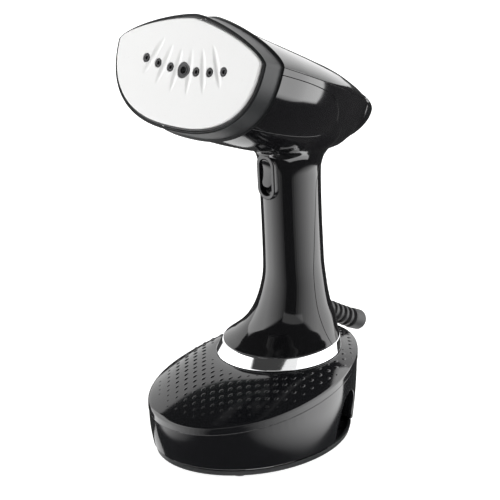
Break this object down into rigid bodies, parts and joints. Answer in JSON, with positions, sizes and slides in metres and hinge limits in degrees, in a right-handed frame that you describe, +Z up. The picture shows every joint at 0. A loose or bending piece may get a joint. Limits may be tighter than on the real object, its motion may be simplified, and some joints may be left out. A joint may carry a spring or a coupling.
{
  "type": "garment steamer",
  "caption": "Handheld garment steamer with a ceramic steam plate, slim handle and trigger, docked on a wedge-shaped water tank that it stands on.",
  "frame": {"origin": "centre of the bounding box at the level of the foot pads", "axes": "+Z up, -Y the front that the steam plate faces, +X the width"},
  "size_m": [0.1266, 0.188, 0.2902],
  "materials": {
    "ceramic_plate": "satin ceramic coat",
    "gloss_black": "piano gloss",
    "bezel_grey": "satin",
    "chrome_trim": "polished",
    "tank_black": "smoky gloss",
    "foot_grey": "satin",
    "black_rubber": "matt",
    "silicone": "translucent satin",
    "cast_alloy": "cast",
    "steel": "brushed",
    "winding": "taped copper winding",
    "white_plastic": "satin",
    "circuit_green": "lacquered board",
    "mica": "pressed mica"
  },
  "bodies": {
    "tank": {"tank_cover": "tank_black", "tank_body": "tank_black", "tank_gasket": "black_rubber", "valve_socket": "white_plastic", "valve_seal": "silicone", "suction_tube": "silicone", "filter_weight": "steel", "foot_ring": "foot_grey", "foot_pad_front_left": "black_rubber", "foot_pad_front_right": "black_rubber", "foot_pad_rear_left": "black_rubber", "foot_pad_rear_right": "black_rubber"},
    "steamer": {"steam_plate": "ceramic_plate", "plate_gasket": "black_rubber", "head_bezel": "bezel_grey", "boiler_block": "cast_alloy", "boiler_cover": "steel", "heating_element": "steel", "thermostat": "steel", "thermal_fuse": "white_plastic", "heat_shield": "mica", "plate_screw_left": "steel", "plate_screw_right": "steel", "head_top_cover": "gloss_black", "side_inlay_right": "gloss_black", "side_inlay_left": "gloss_black", "outlet_tube": "silicone", "heater_leads": "white_plastic", "body_shell": "gloss_black", "handle_rear_cover": "gloss_black", "rear_screw_lower": "steel", "rear_screw_upper": "steel", "trigger_housing": "tank_black", "trigger_spring": "steel", "switch_bracket": "white_plastic", "microswitch": "black_rubber", "pump_tube": "white_plastic", "pump_coil": "winding", "pump_frame": "steel", "pump_mount_lower": "black_rubber", "pump_mount_upper": "black_rubber", "inlet_tube": "silicone", "control_board": "circuit_green", "cord_clamp": "white_plastic", "strain_relief": "black_rubber", "trim_ring": "chrome_trim", "foot_plate": "foot_grey", "docking_nozzle": "white_plastic", "docking_seal": "silicone", "foot_screw_left": "steel", "foot_screw_right": "steel"},
    "trigger": {"trigger_button": "tank_black"},
    "plug": {"filler_plug": "black_rubber"}
  },
  "joints": [
    {"name": "tank_release", "type": "slide", "parent": "tank", "child": "steamer", "axis": [0, -0.0663, 0.9978], "range_m": [0, 0.08]},
    {"name": "trigger_press", "type": "slide", "parent": "steamer", "child": "trigger", "axis": [0, 0.9978, 0.0663], "range_m": [0, 0.0025], "stiffness_N_per_m": 500, "springref_m": -0.002, "deforming": ["trigger_spring"]},
    {"name": "plug_pull", "type": "slide", "parent": "tank", "child": "plug", "axis": [0, 1, 0], "range_m": [0, 0.02]}
  ]
}
